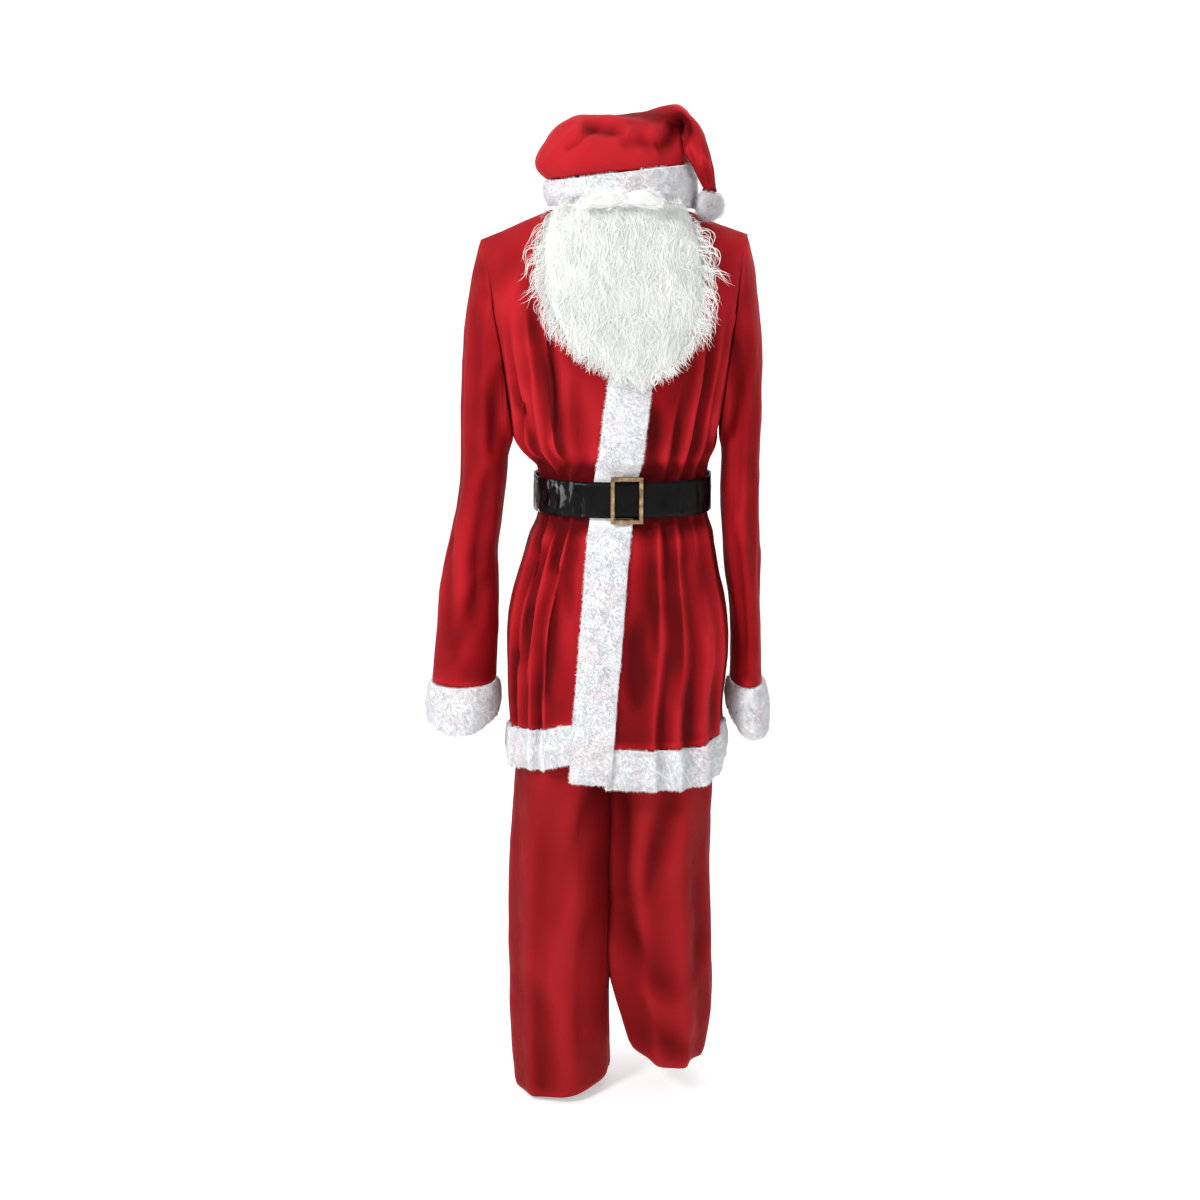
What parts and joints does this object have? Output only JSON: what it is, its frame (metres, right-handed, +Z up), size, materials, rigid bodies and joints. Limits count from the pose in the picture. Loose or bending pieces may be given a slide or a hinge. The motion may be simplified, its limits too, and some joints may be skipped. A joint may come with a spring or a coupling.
{
  "type": "santa suit",
  "caption": "Red velour Santa suit, filled out and hollow: plush-trimmed belted jacket, trousers, folded hat with pompom, curly beard with moustache, and a buckled belt.",
  "frame": {"origin": "midway between the shoulders, at the height of the sides of the neck, where the wearer's shoulders carry the jacket", "axes": "+Z up, -Y the way the suit faces, +X towards the wearer's left, which is the viewer's right"},
  "size_m": [0.4843, 0.2881, 1.3785],
  "materials": {
    "red_velour": "deep red brushed velour with a soft nap",
    "white_plush": "short white plush fur",
    "beard_fibre": "curled off-white synthetic fibre",
    "belt_vinyl": "glossy black vinyl, lightly wrinkled",
    "buckle_metal": "aged bronze-brown metal",
    "elastic": "white braided elastic"
  },
  "bodies": {
    "root": {"jacket_back": "red_velour", "jacket_front_right": "red_velour", "jacket_front_left": "red_velour", "sleeve_right": "red_velour", "sleeve_left": "red_velour", "cuff_right": "white_plush", "cuff_left": "white_plush", "front_band": "white_plush", "hem_band_right": "white_plush", "hem_band_left": "white_plush", "hem_band_back": "white_plush", "belt_strap": "belt_vinyl", "belt_buckle": "buckle_metal", "trouser_front_right": "red_velour", "trouser_front_left": "red_velour", "trouser_back_right": "red_velour", "trouser_back_left": "red_velour", "hat_crown": "red_velour", "hat_band": "white_plush", "hat_pompom": "white_plush", "beard": "beard_fibre", "moustache": "beard_fibre", "beard_elastic": "elastic"}
  },
  "joints": []
}
